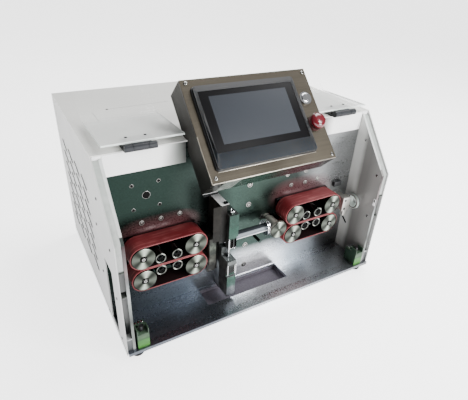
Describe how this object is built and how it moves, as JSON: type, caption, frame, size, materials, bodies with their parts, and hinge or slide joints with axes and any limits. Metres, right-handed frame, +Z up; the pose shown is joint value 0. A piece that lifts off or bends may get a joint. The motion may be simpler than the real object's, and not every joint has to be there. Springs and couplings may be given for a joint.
{
  "type": "wire stripping machine",
  "caption": "Benchtop wire cutting and stripping machine: white cabinet with an open bay of belt feeds, a blade head, a tilted touch console and hinged clear covers.",
  "frame": {"origin": "on the surface the machine stands on, under the middle of its bounding box", "axes": "+Z up, front of the machine towards -Y, the wire runs along X"},
  "size_m": [0.586, 0.449, 0.4572],
  "materials": {
    "white_paint": "semi-gloss powder coat",
    "polished_plate": "mirror polished nickel",
    "console_paint": "satin",
    "console_steel": "brushed",
    "bezel_plastic": "fine grain",
    "screen_glass": "glossy",
    "chrome_trim": "polished",
    "black_plastic": "satin",
    "stop_red": "glossy",
    "clear_acrylic": "clear, polished edges",
    "hinge_slate": "satin",
    "leaf_alloy": "satin",
    "carriage_black": "black oxide",
    "belt_red": "smooth matt",
    "turned_alloy": "turned face",
    "bearing_steel": "ground",
    "head_steel": "polished, dark reflections",
    "blade_steel": "ground",
    "guide_brass": "dull",
    "switch_green": "satin",
    "foot_rubber": "matt"
  },
  "bodies": {
    "cabinet": {"base_plate": "polished_plate", "mounting_plate": "polished_plate", "cabinet_shell": "white_paint", "rear_panel": "white_paint", "fascia": "white_paint", "left_inner_panel": "clear_acrylic", "right_inner_panel": "clear_acrylic", "wing_spacers": "white_paint", "feet": "foot_rubber", "console_box": "console_paint", "console_plate": "console_steel", "hmi_bezel": "bezel_plastic", "hmi_screen": "screen_glass", "button_ring": "chrome_trim", "estop_collar": "black_plastic", "left_roof_leaf": "hinge_slate", "right_roof_leaf": "hinge_slate", "left_lower_block": "carriage_black", "right_lower_block": "carriage_black", "left_lower_belt": "belt_red", "right_lower_belt": "belt_red", "head_column": "head_steel", "tube_post": "bearing_steel", "inlet_guide": "guide_brass", "outlet_bushing": "clear_acrylic", "switch_bodies": "switch_green"},
    "start_button": {"start_button": "chrome_trim"},
    "estop_head": {"estop_mushroom": "stop_red"},
    "left_lid": {"left_cover": "clear_acrylic", "left_cover_leaf": "leaf_alloy"},
    "right_lid": {"right_cover": "clear_acrylic", "right_cover_leaf": "leaf_alloy"},
    "left_upper_unit": {"left_upper_carriage": "carriage_black", "left_upper_belt": "belt_red"},
    "right_upper_unit": {"right_upper_carriage": "carriage_black", "right_upper_belt": "belt_red"},
    "upper_tool_body": {"upper_tool": "head_steel", "upper_blade": "blade_steel"},
    "lower_tool_body": {"lower_tool": "head_steel", "lower_blade": "blade_steel"},
    "conduit": {"tube_hub": "turned_alloy", "conduit_tube": "chrome_trim"},
    "left_plunger_body": {"left_plunger": "chrome_trim"},
    "right_plunger_body": {"right_plunger": "chrome_trim"},
    "left_upper_pulley_a_body": {"left_upper_pulley_a": "turned_alloy"},
    "left_upper_pulley_b_body": {"left_upper_pulley_b": "turned_alloy"},
    "left_upper_idler_a_body": {"left_upper_idler_a": "bearing_steel"},
    "left_upper_idler_b_body": {"left_upper_idler_b": "bearing_steel"},
    "left_lower_pulley_a_body": {"left_lower_pulley_a": "turned_alloy"},
    "left_lower_pulley_b_body": {"left_lower_pulley_b": "turned_alloy"},
    "left_lower_idler_a_body": {"left_lower_idler_a": "bearing_steel"},
    "left_lower_idler_b_body": {"left_lower_idler_b": "bearing_steel"},
    "right_upper_pulley_a_body": {"right_upper_pulley_a": "turned_alloy"},
    "right_upper_pulley_b_body": {"right_upper_pulley_b": "turned_alloy"},
    "right_upper_idler_a_body": {"right_upper_idler_a": "bearing_steel"},
    "right_upper_idler_b_body": {"right_upper_idler_b": "bearing_steel"},
    "right_lower_pulley_a_body": {"right_lower_pulley_a": "turned_alloy"},
    "right_lower_pulley_b_body": {"right_lower_pulley_b": "turned_alloy"},
    "right_lower_idler_a_body": {"right_lower_idler_a": "bearing_steel"},
    "right_lower_idler_b_body": {"right_lower_idler_b": "bearing_steel"}
  },
  "joints": [
    {"name": "left_cover_hinge", "type": "hinge", "parent": "cabinet", "child": "left_lid", "pos_m": [-0.2135, -0.13722, 0.3712], "axis": [1, 0, 0], "range_deg": [0, 233]},
    {"name": "right_cover_hinge", "type": "hinge", "parent": "cabinet", "child": "right_lid", "pos_m": [0.2135, -0.13722, 0.3712], "axis": [1, 0, 0], "range_deg": [0, 233]},
    {"name": "start_push", "type": "slide", "parent": "cabinet", "child": "start_button", "axis": [0, 0.7193, -0.6947], "range_m": [0, 0.003], "stiffness_N_per_m": 400, "springref_m": -0.004},
    {"name": "estop_push", "type": "slide", "parent": "cabinet", "child": "estop_head", "axis": [0, 0.7193, -0.6947], "range_m": [0, 0.004], "stiffness_N_per_m": 600, "springref_m": -0.004},
    {"name": "left_unit_lift", "type": "slide", "parent": "cabinet", "child": "left_upper_unit", "axis": [0, 0, 1], "range_m": [0, 0.008]},
    {"name": "left_plunger_push", "type": "slide", "parent": "cabinet", "child": "left_plunger_body", "axis": [0, 0, -1], "range_m": [0, 0.003], "stiffness_N_per_m": 400, "springref_m": -0.004},
    {"name": "right_unit_lift", "type": "slide", "parent": "cabinet", "child": "right_upper_unit", "axis": [0, 0, 1], "range_m": [0, 0.008]},
    {"name": "right_plunger_push", "type": "slide", "parent": "cabinet", "child": "right_plunger_body", "axis": [0, 0, -1], "range_m": [0, 0.003], "stiffness_N_per_m": 400, "springref_m": -0.004},
    {"name": "lower_tool_slide", "type": "slide", "parent": "cabinet", "child": "lower_tool_body", "axis": [0, 0, 1], "range_m": [0, 0.009]},
    {"name": "upper_tool_slide", "type": "slide", "parent": "cabinet", "child": "upper_tool_body", "axis": [0, 0, -1], "range_m": [0, 0.009]},
    {"name": "conduit_swing", "type": "hinge", "parent": "cabinet", "child": "conduit", "pos_m": [0.048, -0.1575, 0.1585], "axis": [0, 1, 0], "range_deg": [0, 30]},
    {"name": "left_upper_pulley_a_spin", "type": "hinge", "parent": "left_upper_unit", "child": "left_upper_pulley_a_body", "pos_m": [-0.236, -0.1575, 0.18265], "axis": [0, 1, 0], "continuous": true},
    {"name": "left_upper_pulley_b_spin", "type": "hinge", "parent": "left_upper_unit", "child": "left_upper_pulley_b_body", "pos_m": [-0.137, -0.1575, 0.18265], "axis": [0, 1, 0], "continuous": true},
    {"name": "left_upper_idler_a_spin", "type": "hinge", "parent": "left_upper_unit", "child": "left_upper_idler_a_body", "pos_m": [-0.204, -0.1575, 0.17165], "axis": [0, 1, 0], "continuous": true},
    {"name": "left_upper_idler_b_spin", "type": "hinge", "parent": "left_upper_unit", "child": "left_upper_idler_b_body", "pos_m": [-0.173, -0.1575, 0.17165], "axis": [0, 1, 0], "continuous": true},
    {"name": "left_lower_pulley_a_spin", "type": "hinge", "parent": "cabinet", "child": "left_lower_pulley_a_body", "pos_m": [-0.236, -0.1575, 0.13435], "axis": [0, 1, 0], "continuous": true},
    {"name": "left_lower_pulley_b_spin", "type": "hinge", "parent": "cabinet", "child": "left_lower_pulley_b_body", "pos_m": [-0.137, -0.1575, 0.13435], "axis": [0, 1, 0], "continuous": true},
    {"name": "left_lower_idler_a_spin", "type": "hinge", "parent": "cabinet", "child": "left_lower_idler_a_body", "pos_m": [-0.204, -0.1575, 0.14535], "axis": [0, 1, 0], "continuous": true},
    {"name": "left_lower_idler_b_spin", "type": "hinge", "parent": "cabinet", "child": "left_lower_idler_b_body", "pos_m": [-0.173, -0.1575, 0.14535], "axis": [0, 1, 0], "continuous": true},
    {"name": "right_upper_pulley_a_spin", "type": "hinge", "parent": "right_upper_unit", "child": "right_upper_pulley_a_body", "pos_m": [0.088, -0.1575, 0.18265], "axis": [0, 1, 0], "continuous": true},
    {"name": "right_upper_pulley_b_spin", "type": "hinge", "parent": "right_upper_unit", "child": "right_upper_pulley_b_body", "pos_m": [0.187, -0.1575, 0.18265], "axis": [0, 1, 0], "continuous": true},
    {"name": "right_upper_idler_a_spin", "type": "hinge", "parent": "right_upper_unit", "child": "right_upper_idler_a_body", "pos_m": [0.12, -0.1575, 0.17165], "axis": [0, 1, 0], "continuous": true},
    {"name": "right_upper_idler_b_spin", "type": "hinge", "parent": "right_upper_unit", "child": "right_upper_idler_b_body", "pos_m": [0.151, -0.1575, 0.17165], "axis": [0, 1, 0], "continuous": true},
    {"name": "right_lower_pulley_a_spin", "type": "hinge", "parent": "cabinet", "child": "right_lower_pulley_a_body", "pos_m": [0.088, -0.1575, 0.13435], "axis": [0, 1, 0], "continuous": true},
    {"name": "right_lower_pulley_b_spin", "type": "hinge", "parent": "cabinet", "child": "right_lower_pulley_b_body", "pos_m": [0.187, -0.1575, 0.13435], "axis": [0, 1, 0], "continuous": true},
    {"name": "right_lower_idler_a_spin", "type": "hinge", "parent": "cabinet", "child": "right_lower_idler_a_body", "pos_m": [0.12, -0.1575, 0.14535], "axis": [0, 1, 0], "continuous": true},
    {"name": "right_lower_idler_b_spin", "type": "hinge", "parent": "cabinet", "child": "right_lower_idler_b_body", "pos_m": [0.151, -0.1575, 0.14535], "axis": [0, 1, 0], "continuous": true}
  ],
  "couplings": [
    {"joint": "upper_tool_slide", "follows": "lower_tool_slide", "ratio": 1},
    {"joint": "left_upper_pulley_a_spin", "follows": "left_lower_pulley_a_spin", "ratio": -1},
    {"joint": "left_upper_pulley_b_spin", "follows": "left_lower_pulley_a_spin", "ratio": -1},
    {"joint": "left_upper_idler_a_spin", "follows": "left_lower_pulley_a_spin", "ratio": -2.0476},
    {"joint": "left_upper_idler_b_spin", "follows": "left_lower_pulley_a_spin", "ratio": -2.0476},
    {"joint": "left_lower_pulley_b_spin", "follows": "left_lower_pulley_a_spin", "ratio": 1},
    {"joint": "left_lower_idler_a_spin", "follows": "left_lower_pulley_a_spin", "ratio": 2.0476},
    {"joint": "left_lower_idler_b_spin", "follows": "left_lower_pulley_a_spin", "ratio": 2.0476},
    {"joint": "right_upper_pulley_a_spin", "follows": "right_lower_pulley_a_spin", "ratio": -1},
    {"joint": "right_upper_pulley_b_spin", "follows": "right_lower_pulley_a_spin", "ratio": -1},
    {"joint": "right_upper_idler_a_spin", "follows": "right_lower_pulley_a_spin", "ratio": -2.0476},
    {"joint": "right_upper_idler_b_spin", "follows": "right_lower_pulley_a_spin", "ratio": -2.0476},
    {"joint": "right_lower_pulley_b_spin", "follows": "right_lower_pulley_a_spin", "ratio": 1},
    {"joint": "right_lower_idler_a_spin", "follows": "right_lower_pulley_a_spin", "ratio": 2.0476},
    {"joint": "right_lower_idler_b_spin", "follows": "right_lower_pulley_a_spin", "ratio": 2.0476}
  ]
}
